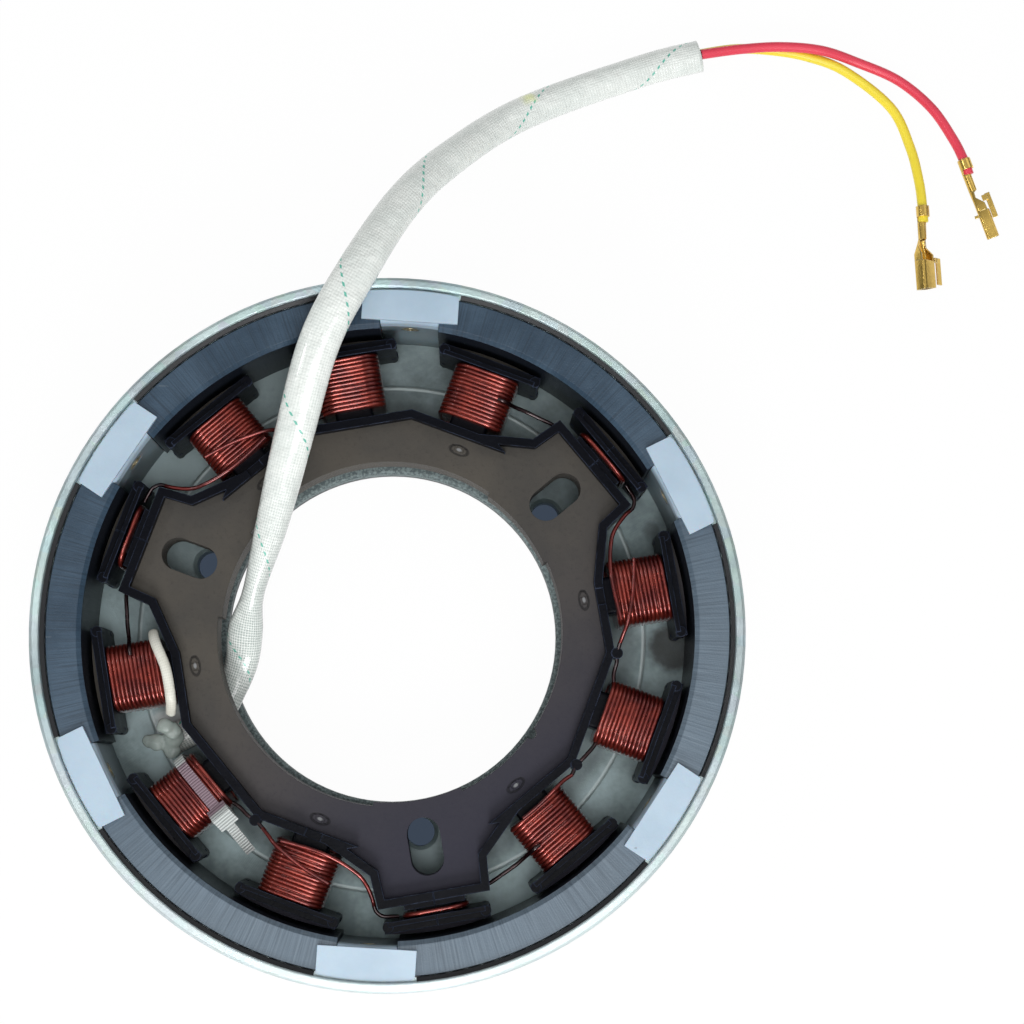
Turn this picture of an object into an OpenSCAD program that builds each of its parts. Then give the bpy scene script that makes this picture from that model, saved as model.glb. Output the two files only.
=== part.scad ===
// Flywheel magneto: a cup rotor with six arc magnets around a twelve pole stator.
// Frame: origin at the centre of the rotor's underside, +Z up out of the open side.

/* [Rotor] */
// Outer diameter of the rotor cup
rotor_d = 160; // [152:1:172]
// Height of the rotor cup
rotor_h = 33; // [32:0.5:37]
// Thickness of the floor where the magnets stand
floor_t = 5; // [4:0.5:6]
// Thickness of the wall behind the magnets
wall_t = 3.3; // [3:0.1:4]
// Radial width of the step inside the rim, above the magnets
rim_step_w = 1; // [0.6:0.1:1.4]
// Diameter of the bore in the floor
rotor_bore_d = 77.2; // [70:0.4:78]
// Diameter of the raised, turned face of the floor
face_d = 119.6; // [114:0.4:122]
// Height of the raised face
face_h = 0.5; // [0.3:0.1:0.8]
// Pitch circle of the three mounting holes in the floor
hole_pcd = 92; // [90:0.5:96]
// Diameter of the mounting holes
hole_d = 6.6; // [5.5:0.1:8.5]
// Chamfer on the rotor's turned edges
edge_chamfer = 0.6; // [0.3:0.1:0.8]

/* [Magnets] */
// Radial thickness of an arc magnet
magnet_t = 7.7; // [7:0.05:8]
// Depth of the magnets' top face below the rim
magnet_sink = 1.8; // [1.6:0.1:2.4]
// Chamfer on the magnets' inner edges
magnet_chamfer = 1; // [0.5:0.1:1.5]
// Width of the glue line between magnet and wall
glue_t = 0.2; // [0.1:0.05:0.3]
// Height of the hardened bead in the step above the glue line
bead_h = 0.9; // [0.5:0.1:1.2]

/* [Spacers] */
// Angle of the gap between two magnets that a spacer's web fills
web_angle = 11; // [9:0.1:13]
// Side clearance between web and magnet
web_clear = 0.1; // [0.05:0.05:0.2]
// How far the web stands back from the magnets' inner face
web_setback = 1.1; // [0.5:0.1:1.5]
// Width of the plate that holds the magnets down
plate_w = 21.9; // [18:0.1:24]
// Thickness of that plate
plate_t = 1; // [0.8:0.1:1.2]
// How far the plate reaches over the magnets, from its outer edge
plate_reach = 7.1; // [5:0.1:7.4]
// Radius where the plate rolls over into the web
roll_r = 2.4; // [1:0.1:3]
// Outer diameter of the tubular rivets
rivet_d = 2.8; // [2.4:0.1:3.2]
// Bore of the tubular rivets
rivet_bore_d = 1.6; // [1.2:0.1:1.8]
// Diameter of the rivet's recess in the web
rivet_recess_d = 4.1; // [3.8:0.1:4.8]
// Depth of the rivets below the rim
rivet_depth = 9.5; // [7:0.5:12]

/* [Stator core] */
// Gap between tooth tips and magnets
air_gap = 0.8; // [0.6:0.05:0.95]
// Height of the lamination stack
core_h = 9; // [8:0.5:11]
// Gap between the rotor's floor and the cable tie under a winding
floor_gap = 0.5; // [0.3:0.1:1.2]
// Diameter of the stator's bore
bore_d = 79; // [78:0.1:80]
// Height of the three locating pads in the bore
pad_h = 0.9; // [0.7:0.05:1.2]
// Angle that one locating pad takes up
pad_angle = 30; // [20:1:36]
// Width of a mounting lobe at its end
lobe_w = 23.4; // [22:0.1:24.4]
// Width of a mounting lobe at its root
lobe_root_w = 24.5; // [22:0.1:25.4]
// How far the flats that widen the yoke beside a lobe stand back from the yoke's own flats
lobe_flare = 2.5; // [2.2:0.05:3.6]
// Wall between the bore and a mounting slot
slot_in = 3.05; // [2.4:0.05:4]
// Wall between a mounting slot and the end of its lobe
slot_out = 4.4; // [3.5:0.1:5.5]
// Width of a mounting slot
slot_w = 7.5; // [6:0.1:8.5]
// Width of the tooth necks
neck_w = 6.5; // [5.5:0.25:7]
// Radial thickness of a tooth tip at its middle
shoe_t = 2.7; // [2.5:0.05:3.2]
// Width of a tooth tip
shoe_w = 24; // [22:0.2:26]

/* [Insulators] */
// Wall of the insulator on the yoke's edge and the tooth necks
skirt_t = 1; // [0.8:0.05:1.1]
// Thickness of the raised fence
fence_t = 1.95; // [1.5:0.05:2.5]
// Height of the front fence above the core
fence_h = 3; // [2:0.1:3.4]
// Height of the rear fence
rear_fence_h = 2.2; // [1.5:0.1:2.6]
// Width of the lead exit notches in the rear fence
exit_w = 9.5; // [8.5:0.1:11]
// Width of a coil flange
flange_w = 24; // [21.6:0.2:25]
// Height of a coil flange above the core
flange_h = 4.6; // [4:0.1:4.8]
// Height of the step on the flange's outer side
flange_step = 0.9; // [0.5:0.1:1.5]
// Overhang of the flange over the tooth tip
flange_reach = 1.4; // [0.8:0.1:1.6]
// Width of the wall between fence and first turn
heel_w = 1.8; // [1.5:0.1:2]

/* [Windings] */
// Pitch of the enamelled wire in a layer
wire_pitch = 0.95; // [0.9:0.01:1.1]
// Turns of a winding that lie side by side
coil_turns = 13; // [12:1:13]
// Turns that lie side by side in the short windings outside the lobes
lobe_turns = 1; // [1:1:2]
// Thickness of a winding, about three layers
winding_t = 3.3; // [2.4:0.1:3.5]
// Diameter of the wires that join the coils
wire_d = 0.95; // [0.8:0.05:1.1]
// Diameter of the sleeving over the splice
sleeving_d = 1.9; // [1.6:0.1:2.2]

/* [Tie and sleeve] */
// Width of the cable tie's band
tie_w = 2.5; // [2:0.1:3]
// Thickness of the cable tie's band
tie_t = 1; // [0.8:0.1:1.2]
// Outer diameter of a lead
lead_d = 2.4; // [2:0.1:2.6]

/* [Terminals] */
// Sheet thickness of the receptacle terminals
brass_t = 0.4; // [0.3:0.05:0.5]
// Width of the receptacle's body
socket_w = 4.8; // [4.4:0.1:5.6]
// Height of the receptacle's body
socket_h = 3; // [2.6:0.1:3.4]
// Length of the receptacle's body
socket_l = 9.2; // [8:0.1:11]
// Length of the ring that grips the insulation
crimp_l = 2.6; // [2:0.1:3]

/* [Hidden] */

$fn = 48;
eps = 0.01;
magnets = 6;
teeth = 12;
lobes = 3;
magnet_pitch = 360 / magnets;
tooth_pitch = 360 / teeth;
lobe_pitch = 360 / lobes;
spacer_angle = 26.5;  // where the first spacer stands
stator_angle = 9.7;   // where the first tooth stands
lobe_tooth = 1;       // the first tooth that stands on a lobe
tied_tooth = 7;       // the tooth whose coil carries the cable tie
spliced_tooth = 6;    // the tooth with the sleeving over its root
hole_angle = 38.5;    // where the first mounting hole of the floor is

rotor_r = rotor_d / 2;
cup_r = rotor_r - wall_t;
rim_r = cup_r + rim_step_w;
magnet_or = cup_r - glue_t;
magnet_ir = magnet_or - magnet_t;
magnet_top = rotor_h - magnet_sink;
face_top = floor_t + face_h;
hole_csk = 0.9;       // countersink of the floor's holes
web_ir = magnet_ir + web_setback;
plate_or = rim_r - 0.4;
plate_ir = plate_or - plate_reach;
plate_corner = 1.1;
rivet_z = rotor_h - rivet_depth;
rivet_fit = 0.05;
flare_t = 0.45;       // thickness of a rivet's flared end

tip_r = magnet_ir - air_gap;
fit = 0.05;           // clearance of a moulded part on the core
edge = skirt_t + fit; // how far the plastic stands out from the core's edge
coil_fit = 0.05;
tie_gap = 0.1;
core_z = face_top + floor_gap + tie_t + tie_gap + winding_t + coil_fit + edge;
core_top = core_z + core_h;
core_mid = core_z + core_h / 2;
shoe_x = tip_r - shoe_t;
mark_h = 0.25;

flange_t = 1.05;
flange_x = shoe_x - fit - flange_t;
flange_top = core_top + flange_h;
coil_play = 0.35;     // room beside the turns of a winding
lobe_play = 0.85;
coil_x = flange_x - coil_turns * wire_pitch - coil_play;
lobe_coil_x = flange_x - lobe_turns * wire_pitch - lobe_play;
lobe_heel_t = 1.3;    // the wall before the first turn on a lobe
lobe_heel_w = 13.8;
yoke_r = coil_x - heel_w - edge;             // distance to the flats of the twelve sided yoke
lobe_r = lobe_coil_x - lobe_heel_t - edge;   // distance to the end face of a mounting lobe
lobe_flare_r = yoke_r - lobe_flare;
slot_l = lobe_r - slot_out - bore_d / 2 - slot_in;
slot_r = bore_d / 2 + slot_in + slot_l / 2;
mark_r = bore_d / 2 + 0.6 * (yoke_r - bore_d / 2);  // radius of the stack's interlock marks
cover_w = neck_w + 2 * edge;
cover_h = core_h + 2 * edge;
corner_r = 0.8;
root_in = 0.3;        // how far a tooth's cover reaches into the skirt
split = 0.1;          // gap where two insulator pieces meet
coil_w = cover_w + 2 * (coil_fit + winding_t);
coil_h = cover_h + 2 * (coil_fit + winding_t);
coil_top = core_mid + coil_h / 2;

// Shared shapes

// A rectangle about the origin with round corners
module rounded_rect(w, h, r) {
    offset(r = r, $fn = 24) square([w - 2 * r, h - 2 * r], center = true);
}

// A sector of angle a about the +X axis, narrowed by the gap g on both sides
module sector(a, g) {
    far = 2 * rotor_r;
    offset(delta = -g) polygon([[0, 0], for (k = [-1:0.5:1]) far * [cos(k * a / 2), sin(k * a / 2)]]);
}

// Puts a shape drawn for the +X axis on tooth i, counted counterclockwise
module at_tooth(i) {
    rotate([0, 0, stator_angle + i * tooth_pitch]) children();
}

// Stands a section drawn in Y and Z on the tooth's axis and extrudes it from x0 to x1
module along_tooth(x0, x1) {
    translate([x0, 0, core_mid]) rotate([90, 0, 90]) linear_extrude(x1 - x0) children();
}

// A tube swept along a list of [x, y, z, width, height]; its section is an ellipse kept level
function spot(p) = [p[0], p[1], p[2]];
function heading(path, i) =
    let (a = spot(path[max(i - 1, 0)]), b = spot(path[min(i + 1, len(path) - 1)])) (b - a) / norm(b - a);
function level_side(t) = let (s = cross([0, 0, 1], t)) s / norm(s);
function ring_at(path, i, n) =
    let (t = heading(path, i), s = level_side(t), u = cross(t, s))
    [for (j = [0:n - 1]) spot(path[i]) + cos(360 * j / n) * path[i][3] / 2 * s
        + sin(360 * j / n) * path[i][4] / 2 * u];

module swept(path, n) {
    m = len(path);
    polyhedron(
        points = [for (i = [0:m - 1]) each ring_at(path, i, n)],
        faces = concat(
            [[for (j = [0:n - 1]) j]],
            [for (i = [0:m - 2], j = [0:n - 1])
                [i * n + j, (i + 1) * n + j, (i + 1) * n + (j + 1) % n, i * n + (j + 1) % n]],
            [[for (j = [n - 1:-1:0]) (m - 1) * n + j]]));
}

function round_route(route, d) = [for (p = route) [p[0], p[1], p[2], d, d]];

// Rotor

module rotor_cup() {
    c = edge_chamfer;
    bore_r = rotor_bore_d / 2;
    color([0.70, 0.76, 0.76]) difference() {
        rotate_extrude($fn = 128) polygon([
            [bore_r, c], [bore_r + c, 0], [rotor_r - c, 0], [rotor_r, c],
            [rotor_r, rotor_h - c], [rotor_r - c, rotor_h],
            [rim_r + c / 2, rotor_h], [rim_r, rotor_h - c / 2], [rim_r, magnet_top],
            [cup_r, magnet_top], [cup_r, floor_t],
            [face_d / 2, floor_t], [face_d / 2 - face_h, face_top],
            [bore_r + c, face_top], [bore_r, face_top - c]]);
        for (i = [0:2]) rotate([0, 0, hole_angle + i * 120]) translate([hole_pcd / 2, 0, 0]) {
            translate([0, 0, -eps]) cylinder(d = hole_d, h = face_top + 2 * eps);
            translate([0, 0, face_top - hole_csk])
                cylinder(d1 = hole_d, d2 = hole_d + 2 * hole_csk + 2 * eps, h = hole_csk + eps);
        }
        for (i = [0:magnets - 1]) rotate([0, 0, spacer_angle + i * magnet_pitch])
            translate([cup_r - 1, 0, rivet_z]) rotate([0, 90, 0])
                cylinder(d = rivet_d + 2 * rivet_fit, h = wall_t + 2);
    }
}

module magnet(i) {
    span = magnet_pitch - web_angle;
    c = magnet_chamfer;
    color([0.35, 0.39, 0.44])
    rotate([0, 0, spacer_angle + (i - 0.5) * magnet_pitch - span / 2])
        rotate_extrude(angle = span, $fn = 128) polygon([
            [magnet_ir, floor_t + c], [magnet_ir + c, floor_t], [magnet_or, floor_t],
            [magnet_or, magnet_top], [magnet_ir + c, magnet_top], [magnet_ir, magnet_top - c]]);
}

// Section of the web: it rolls over at the top into the plate
module web_section() {
    top = magnet_top + plate_t;
    difference() {
        translate([web_ir, floor_t]) square([magnet_or - web_ir, top - floor_t]);
        translate([web_ir - eps, top - roll_r]) difference() {
            square([roll_r + eps, roll_r + eps]);
            translate([roll_r + eps, 0]) circle(r = roll_r);
        }
    }
}

module spacer(i) {
    side = asin(web_clear / magnet_ir);
    span = web_angle - 2 * side;
    c = plate_corner;
    color([0.80, 0.86, 0.92])
    rotate([0, 0, spacer_angle + (i - 1) * magnet_pitch]) difference() {
        union() {
            rotate([0, 0, -span / 2]) rotate_extrude(angle = span, $fn = 128) web_section();
            translate([0, 0, magnet_top]) linear_extrude(plate_t) intersection() {
                circle(r = plate_or, $fn = 128);
                polygon([
                    [plate_ir, -plate_w / 2], [plate_or - c, -plate_w / 2],
                    [plate_or, -plate_w / 2 + 2 * c], [plate_or, plate_w / 2 - 2 * c],
                    [plate_or - c, plate_w / 2], [plate_ir, plate_w / 2]]);
            }
        }
        translate([0, 0, rivet_z]) rotate([0, 90, 0]) {
            cylinder(d = rivet_d + 2 * rivet_fit, h = rotor_r);
            cylinder(d = rivet_recess_d, h = web_ir + flare_t + 0.15);
        }
    }
}

module spacer_rivets() {
    color([0.75, 0.62, 0.28])
    for (i = [0:magnets - 1]) rotate([0, 0, spacer_angle + i * magnet_pitch])
        translate([0, 0, rivet_z]) rotate([0, 90, 0]) difference() {
            union() {
                translate([0, 0, web_ir]) cylinder(d = rivet_d, h = rotor_r - 0.3 - web_ir);
                translate([0, 0, web_ir + 0.1])
                    cylinder(d = rivet_recess_d - 2 * rivet_fit, h = flare_t);
            }
            translate([0, 0, web_ir - eps]) cylinder(d = rivet_bore_d, h = rotor_r);
        }
}

// The bead lies in the rim's step, between one spacer plate and the next
module magnet_adhesive() {
    cut = asin((plate_w / 2 + 0.3) / cup_r);
    span = magnet_pitch - 2 * cut;
    color([0.09, 0.09, 0.10])
    for (i = [0:magnets - 1]) rotate([0, 0, spacer_angle + i * magnet_pitch + cut])
        rotate_extrude(angle = span, $fn = 128) polygon([
            [cup_r, magnet_top], [rim_r, magnet_top], [rim_r, magnet_top + bead_h],
            [cup_r + 0.1, magnet_top + bead_h / 2]]);
}

// Stator core

// Outline of the stator's yoke and its lobes, as far out as the plastic reaches
module stator_outline() {
    flat_r = yoke_r + edge;
    rotate(tooth_pitch / 2) circle(r = flat_r / cos(tooth_pitch / 2), $fn = teeth);
    // the flats beside a lobe stand at 45 degrees to it and meet the yoke's own flats
    far = (lobe_flare_r + edge) * sqrt(2);
    meet_x = (flat_r - far * sin(tooth_pitch)) / (cos(tooth_pitch) - sin(tooth_pitch));
    root_y = lobe_root_w / 2 + edge;
    half = [[meet_x, far - meet_x], [far - root_y, root_y], [lobe_r + edge, lobe_w / 2 + edge]];
    for (i = [0:lobes - 1]) rotate(lobe_tooth * tooth_pitch + i * lobe_pitch)
        polygon([for (p = half) p, for (k = [2:-1:0]) [half[k][0], -half[k][1]]]);
}

module tooth_plan() {
    translate([yoke_r - 2, -neck_w / 2]) square([shoe_x - yoke_r + 3, neck_w]);
    intersection() {
        circle(r = tip_r, $fn = 128);
        translate([shoe_x, -shoe_w / 2]) square([shoe_t + 1, shoe_w]);
    }
}

module slot_plan() {
    run = slot_l - slot_w;
    translate([slot_r - run / 2, -slot_w / 2]) square([run, slot_w]);
    for (s = [-1, 1]) translate([slot_r + s * run / 2, 0]) circle(d = slot_w);
}

module bore_plan() {
    r = bore_d / 2;
    difference() {
        circle(r = r, $fn = 128);
        for (i = [0:lobes - 1]) rotate(lobe_tooth * tooth_pitch + i * lobe_pitch)
            difference() {
                sector(pad_angle, 0);
                circle(r = r - pad_h, $fn = 128);
            }
    }
    rotate(lobe_tooth * tooth_pitch + 2 * lobe_pitch + 45) translate([r, 0]) circle(r = 1.3);
}

module stator_core() {
    color([0.26, 0.25, 0.25]) rotate([0, 0, stator_angle]) {
        translate([0, 0, core_z]) linear_extrude(core_h) difference() {
            union() {
                offset(delta = -edge) stator_outline();
                for (i = [0:teeth - 1]) rotate(i * tooth_pitch) tooth_plan();
            }
            bore_plan();
            for (i = [0:lobes - 1]) rotate(lobe_tooth * tooth_pitch + i * lobe_pitch) slot_plan();
        }
        for (i = [0:2:teeth - 1]) rotate([0, 0, i * tooth_pitch])
            translate([mark_r, 0, core_top - eps]) interlock_mark();
    }
}

// The dimpled marks where the laminations are pressed into each other
module interlock_mark() {
    translate([-0.9, -0.5, 0]) cube([1.8, 1, mark_h]);
    for (s = [-1, 1]) translate([-0.6, s * 1.5 - 0.4, 0]) cube([1.2, 0.8, mark_h]);
}

// Insulators, drawn for the front side

// The part of a tooth's insulator that the coil is wound on, with the flange behind the tip
module tooth_cover(x0) {
    difference() {
        along_tooth(x0, flange_x + eps) rounded_rect(cover_w, cover_h, corner_r);
        tooth_clearance(x0);
    }
    difference() {
        union() {
            rotate([90, 0, 0]) linear_extrude(flange_w, center = true) polygon([
                [flange_x, core_mid], [flange_x, flange_top - flange_step],
                [shoe_x + flange_reach, flange_top - flange_step],
                [shoe_x + flange_reach, core_top + fit], [flange_x + flange_t, core_top + fit],
                [flange_x + flange_t, core_mid]]);
            translate([flange_x, -flange_w / 2 + 1, core_top + 1])
                cube([flange_t, flange_w - 2, flange_h - 1]);
            // the wall before the first turn, where a tooth stands on a lobe
            if (x0 > lobe_r) translate([x0, -lobe_heel_w / 2, core_mid])
                cube([lobe_coil_x - 0.1 - x0, lobe_heel_w, core_h / 2 + fence_h - 0.4]);
            for (s = [-1, 1]) translate([flange_x + flange_t, s * (flange_w / 2 - 0.9), core_top + fit])
                cylinder(r = 1.2, h = flange_h - 0.3, $fn = 24);
        }
        tooth_clearance(x0);
    }
}

module tooth_clearance(x0) {
    along_tooth(x0 - eps, shoe_x + 1) square([neck_w + 2 * fit, core_h + 2 * fit], center = true);
    translate([x0 - 1, -flange_w, core_mid - core_h])
        cube([shoe_x - x0 + 4, 2 * flange_w, core_h + split / 2]);
}

// Fence and edge skirt of the third of the stator that starts at lobe s
module insulator_rim(s, height) {
    a = (lobe_tooth + teeth / 2 / lobes) * tooth_pitch + s * lobe_pitch;
    translate([0, 0, core_top]) linear_extrude(height) intersection() {
        difference() {
            stator_outline();
            offset(delta = -fence_t) stator_outline();
            children();
        }
        rotate(a) sector(lobe_pitch, split / 2);
    }
    translate([0, 0, core_mid + split / 2]) linear_extrude(core_h / 2 - split / 2)
        intersection() {
            difference() {
                stator_outline();
                offset(delta = -skirt_t) stator_outline();
                for (i = [0:teeth - 1]) rotate(i * tooth_pitch)
                    translate([yoke_r - 1, -neck_w / 2 - fit]) square([flange_t + 13, neck_w + 2 * fit]);
            }
            rotate(a) sector(lobe_pitch, split / 2);
        }
}

// One moulded third of the insulation: three whole teeth and half a tooth at each lobe
module insulator(s, height) {
    first = lobe_tooth + s * teeth / lobes;
    rotate([0, 0, stator_angle]) {
        insulator_rim(s, height) children();
        for (k = [1:3]) rotate([0, 0, (first + k) * tooth_pitch]) tooth_cover(yoke_r + fit + root_in);
        for (k = [0, 4]) rotate([0, 0, (first + k) * tooth_pitch]) intersection() {
            tooth_cover(lobe_r + fit + root_in);
            translate([lobe_r, k == 0 ? split / 2 : -split / 2 - flange_w, 0])
                cube([flange_x, flange_w, rotor_h]);
        }
    }
}

module front_insulator(s) {
    clip_w = 3.8;
    clip_angle = (lobe_tooth + 3) * tooth_pitch + (s - 1) * lobe_pitch;
    first_post = clip_angle - tooth_pitch / 2;
    posts = s == 3 ? [first_post, first_post - tooth_pitch] : [first_post];
    color([0.12, 0.13, 0.16]) {
        insulator(s - 1, fence_h)
            rotate(clip_angle) translate([yoke_r - fence_t, -clip_w / 2]) square([2 * fence_t, clip_w]);
        // the clip tab in the fence's gap, and the posts that guide a wire
        rotate([0, 0, stator_angle + clip_angle])
            translate([yoke_r + edge - fence_t, -clip_w / 2 - eps, core_top])
                cube([fence_t, clip_w + 2 * eps, fence_h - 0.8]);
        for (a = posts) rotate([0, 0, stator_angle + a])
            translate([(yoke_r + edge) / cos(tooth_pitch / 2) + 0.5, 0, core_top - core_h / 4])
                cylinder(r = 1.3, h = fence_h + core_h / 4 + 0.2, $fn = 32);
    }
}

module rear_insulator(s) {
    exit_angle = (lobe_tooth + 1.5) * tooth_pitch + (s - 1) * lobe_pitch;
    color([0.12, 0.13, 0.16])
    translate([0, 0, 2 * core_mid]) mirror([0, 0, 1]) insulator(s - 1, rear_fence_h)
        rotate(exit_angle) translate([yoke_r - 5, -exit_w / 2]) square([10, exit_w]);
}

// Windings

// Section of a winding: x along the tooth, y outwards, one round ridge for each turn
module winding_section(turns) {
    ridge_r = 0.54 * wire_pitch;
    base = winding_t - ridge_r;
    square([turns * wire_pitch, base + 0.1 * wire_pitch]);
    for (i = [0:turns - 1]) translate([(i + 0.5) * wire_pitch, base]) circle(r = ridge_r, $fn = 24);
}

module winding(start, turns) {
    half_y = cover_w / 2 + coil_fit;
    half_z = cover_h / 2 + coil_fit;
    c = corner_r;
    translate([start, 0, core_mid]) {
        for (s = [0, 1]) mirror([0, 0, s]) translate([0, half_y - c, half_z]) rotate([90, 0, 0])
            linear_extrude(2 * (half_y - c)) winding_section(turns);
        for (s = [0, 1]) mirror([0, s, 0]) translate([0, half_y, -half_z + c])
            linear_extrude(2 * (half_z - c)) winding_section(turns);
        for (s = [0, 1], t = [0, 1]) mirror([0, s, 0]) mirror([0, 0, t])
            translate([0, half_y - c, -half_z + c]) rotate([0, 90, 0])
                rotate_extrude(angle = 90) translate([c, 0]) mirror([1, -1, 0]) winding_section(turns);
    }
}

module coil(i) {
    on_lobe = (i - 1 - lobe_tooth) % (teeth / lobes) == 0;
    color([0.62, 0.25, 0.17]) at_tooth(i - 1) {
        if (on_lobe) winding(lobe_coil_x + lobe_play / 2, lobe_turns);
        else winding(coil_x + coil_play / 2, coil_turns);
    }
}

// Wires between the coils, as [reach beyond the heel, angle from the lobe, height above a winding]
on = wire_d / 2 + 0.15;
to_lobe_corner = [[1.2, -36.8, on], [0.6, -33, on], [0.3, -29, on], [0.5, -25, on], [1.3, -21.5, on - 0.8],
    [2.5, -18.5, -0.9], [3.8, -16.3, -1.7], [5.3, -14.9, -2.2], [7.1, -13.8, -2.5], [8.9, -13, -2.7],
    [10.1, -12.7, -3.4]];
across_coil = [[6.5, -22.9, on], [4.6, -30, on], [2.7, -37, on], [1.6, -40.2, -0.3], [1, -42.3, -1.5]];
behind_post = [[0.6, -47.2, -1.7], [0.4, -49, -1.9], [0.4, -50.6, -2.3]];
from_lobe_corner = [[9.4, 13.3, -5.4], [8.9, 15.6, -5], [8.4, 18.8, -4.4], [7.8, 21.6, -2.9],
    [7.5, 22.9, -0.9], [7.3, 24.2, on], [7.2, 25.6, on]];
along_fence = [[1, 42.3, -1.5], [0.3, 40, -0.5], [0.1, 37.5, on], [0.1, 34, on], [0.2, 30, on],
    [0.3, 26, on]];
after_post = [[0.9, 47.2, -1.7], [1.2, 49, -1.9], [1.5, 50.6, -2.1]];
over_splice = [[1.6, 42, -3.4], [1.1, 41, -1.8], [0.6, 39.5, -0.3], [0.2, 37, 0.9], [-0.1, 34.3, 1.3],
    [-0.2, 31.7, 1.4], [0, 29.1, 1.4], [0.6, 26.6, 1.3], [1.3, 24, 0.7], [1.9, 21.8, -0.8], [2.3, 20.4, -3]];

function polar_route(route, lobe) = [for (p = route)
    let (a = stator_angle + lobe_tooth * tooth_pitch + lobe * lobe_pitch + p[1])
    [(coil_x + p[0]) * cos(a), (coil_x + p[0]) * sin(a), coil_top + p[2]]];

module jumper(route, lobe) {
    swept(round_route(polar_route(route, lobe), wire_d), 8);
}

module jumper_wires() {
    color([0.50, 0.17, 0.13]) {
        for (k = [0:lobes - 1]) {
            jumper(to_lobe_corner, k);
            jumper(across_coil, k);
            jumper(behind_post, k);
            jumper(from_lobe_corner, k);
        }
        jumper(along_fence, 2);
        jumper(after_post, 2);
    }
}

// The white sleeving over the splice, across the root of one tooth
module splice_sleeving() {
    color([0.86, 0.87, 0.84]) swept(round_route(polar_route(over_splice, 1), sleeving_d), 8);
}

// Each blob of the dab is [reach beyond the heel, side, height above the core's underside, radius]
module silicone_dab() {
    blobs = [[3, 0, 5.5, 2.4], [4.9, 2.4, 4.5, 2.2], [3.7, -2.8, 8, 1.9]];
    color([0.72, 0.76, 0.74])
    rotate([0, 0, stator_angle + lobe_tooth * tooth_pitch + lobe_pitch + 45.8]) hull()
        for (b = blobs) translate([coil_x + b[0], b[1], core_z + b[2]]) sphere(r = b[3], $fn = 16);
}

// The tie's head sits on the winding's corner, and its tail runs on from there
module cable_tie() {
    gap = tie_gap;
    r = corner_r + winding_t;
    x0 = coil_x + 2.3;
    head = [4.6, 4.4, 3.4];
    corner = [coil_w / 2 - r, coil_top - r];
    out = r + gap + tie_t;
    color([0.85, 0.86, 0.85]) at_tooth(tied_tooth) {
        along_tooth(x0, x0 + tie_w) difference() {
            rounded_rect(coil_w + 2 * (gap + tie_t), coil_h + 2 * (gap + tie_t), out);
            rounded_rect(coil_w + 2 * gap, coil_h + 2 * gap, r + gap);
        }
        translate([x0 + tie_w / 2, corner[0], corner[1]]) rotate([-45, 0, 0]) {
            translate([-head[0] / 2, -head[1] / 2, out - 0.3]) cube(head);
            translate([-tie_w / 2 + 0.1, 0, out + 0.6]) rotate([0, 0, -4]) cube([tie_w - 0.2, 14, tie_t]);
        }
    }
}

// Sleeve and leads run through points given as [x, y, z, width, height], joined by a smooth curve
function between(a, b, c, d, t) = 0.5 * (2 * b + (c - a) * t + (2 * a - 5 * b + 4 * c - d) * t * t
    + (3 * b - a - 3 * c + d) * t * t * t);
function smooth(p, n) = let (m = len(p)) concat(
    [for (i = [0:m - 2], k = [0:n - 1])
        between(p[max(i - 1, 0)], p[i], p[i + 1], p[min(i + 2, m - 1)], k / n)], [p[m - 1]]);

sleeve_points = [
    [-51, -24.5, 8.2, 7, 3.4], [-41, -18.5, 8.2, 7.2, 3.4], [-37, -12, 8.3, 7, 3.4],
    [-34.5, -5.5, 10, 6.8, 3.8], [-33, 1.5, 14.5, 6.8, 4.4], [-31.3, 8.5, 18.8, 7, 5],
    [-27, 24, 25.2, 7.9, 5], [-22, 42.5, 31, 9, 5], [-16, 64, 35.7, 9.5, 4.8], [-8, 80, 36, 9.5, 4.8],
    [2, 98, 28, 8.8, 5.2], [12.5, 111, 18.8, 8.4, 5.4], [30.5, 126, 7.4, 8, 5.8],
    [59.5, 138, 3.5, 7.8, 6], [74, 142, 3.2, 7.8, 6]];
red_points = [[74.3, 142.1, 4.2], [84, 143.6, 3.9], [94, 144.3, 3.8], [104, 143.6, 3.3], [113, 141.2, 1.5],
    [123, 136.8, 1.3], [131, 129.8, 1.6], [136, 121.5, 2.7], [138, 116.5, 3.8]];
yellow_points = [[74.2, 143, 1.7], [83, 144.5, 1.3], [92, 144.2, 1.3], [101, 142.6, 1.3], [110, 139, 1.3],
    [121, 130, 1.3], [125.5, 120, 1.6], [127.4, 111, 2.4], [127.9, 105, 3.1]];
lead_end = 4.1;       // straight end of a lead, which the terminal grips
red_roll = -72;       // how far each terminal is turned about its own length
yellow_roll = -42;
red_lance = -3.4;     // where the terminal's lance starts, from the start of its body
yellow_lance = 0.7;

function level_step(route) =
    let (m = len(route), d = route[m - 1] - route[m - 2]) [d[0], d[1], 0] / norm([d[0], d[1]]);
function lead_route(points) =
    let (route = smooth(points, 3)) concat(route, [route[len(route) - 1] + lead_end * level_step(route)]);
red_route = lead_route(red_points);
yellow_route = lead_route(yellow_points);

module lead_sleeve() {
    color([0.90, 0.93, 0.91]) swept(smooth(sleeve_points, 2), 12);
}

module red_lead() {
    color([0.85, 0.22, 0.28]) swept(round_route(red_route, lead_d), 8);
}

module yellow_lead() {
    color([0.88, 0.78, 0.20]) swept(round_route(yellow_route, lead_d), 8);
}

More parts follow.
